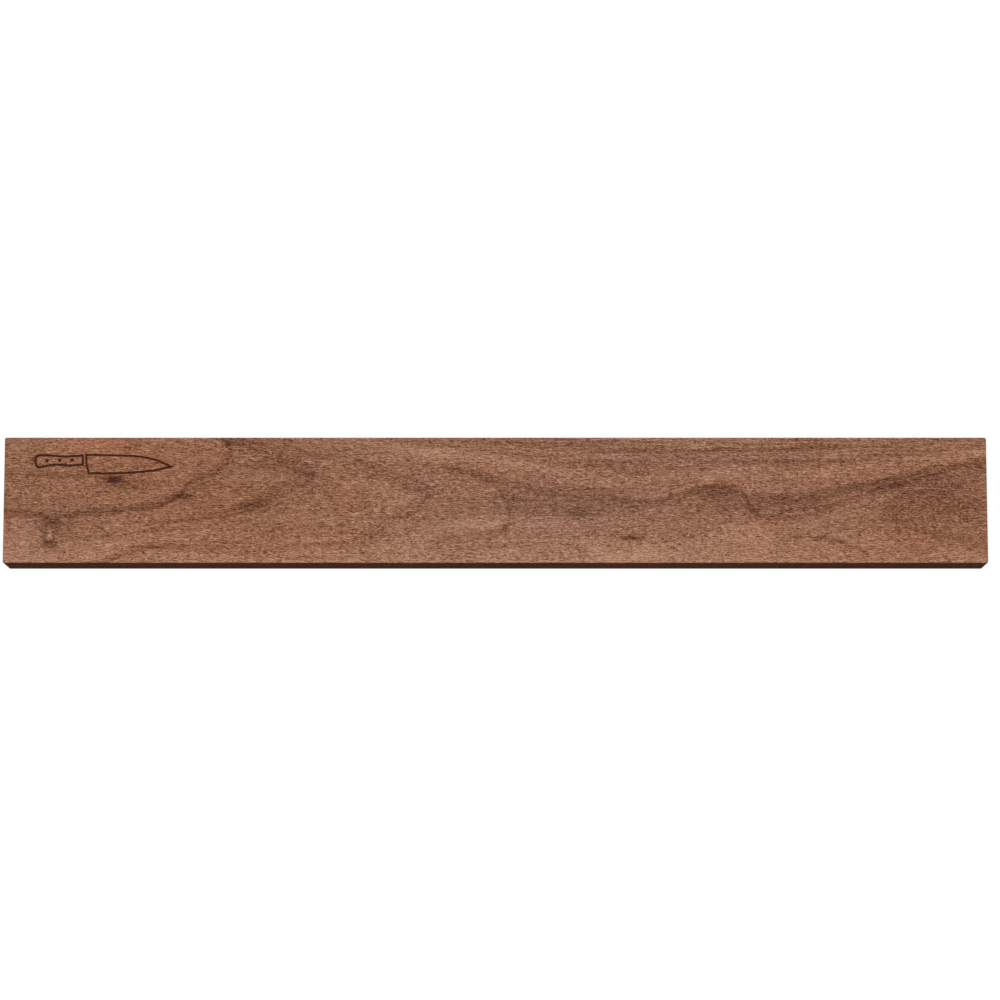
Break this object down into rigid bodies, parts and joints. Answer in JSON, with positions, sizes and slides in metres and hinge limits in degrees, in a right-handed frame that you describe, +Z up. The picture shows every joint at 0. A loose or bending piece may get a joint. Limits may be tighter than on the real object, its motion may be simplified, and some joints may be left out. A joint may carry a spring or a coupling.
{
  "type": "magnetic knife rack",
  "caption": "Wall-mounted wooden bar with magnets hidden behind its front face that holds knives by their blades, hung on two keyhole plates.",
  "frame": {"origin": "centre of the back face, in the wall plane", "axes": "+X along the board, +Y into the wall, +Z up; the front face that holds the knives looks along -Y"},
  "size_m": [0.5, 0.024, 0.0644],
  "materials": {
    "walnut": "oiled, satin",
    "walnut_batten": "sanded, unoiled",
    "nickel_plating": "bright nickel",
    "mild_steel": "rolled",
    "zinc_plating": "zinc plated"
  },
  "bodies": {
    "root": {"front_board": "walnut", "closing_batten": "walnut_batten", "steel_yoke": "mild_steel", "keyhole_plate_left": "zinc_plating", "keyhole_plate_right": "zinc_plating", "batten_screw_1": "zinc_plating", "batten_screw_2": "zinc_plating", "batten_screw_3": "zinc_plating", "batten_screw_4": "zinc_plating", "batten_screw_5": "zinc_plating", "batten_screw_6": "zinc_plating", "plate_screw_left_lower": "zinc_plating", "plate_screw_left_upper": "zinc_plating", "plate_screw_right_lower": "zinc_plating", "plate_screw_right_upper": "zinc_plating", "magnet_upper_1": "nickel_plating", "magnet_upper_2": "nickel_plating", "magnet_upper_3": "nickel_plating", "magnet_upper_4": "nickel_plating", "magnet_upper_5": "nickel_plating", "magnet_upper_6": "nickel_plating", "magnet_upper_7": "nickel_plating", "magnet_upper_8": "nickel_plating", "magnet_upper_9": "nickel_plating", "magnet_lower_1": "nickel_plating", "magnet_lower_2": "nickel_plating", "magnet_lower_3": "nickel_plating", "magnet_lower_4": "nickel_plating", "magnet_lower_5": "nickel_plating", "magnet_lower_6": "nickel_plating", "magnet_lower_7": "nickel_plating", "magnet_lower_8": "nickel_plating", "magnet_lower_9": "nickel_plating"}
  },
  "joints": []
}
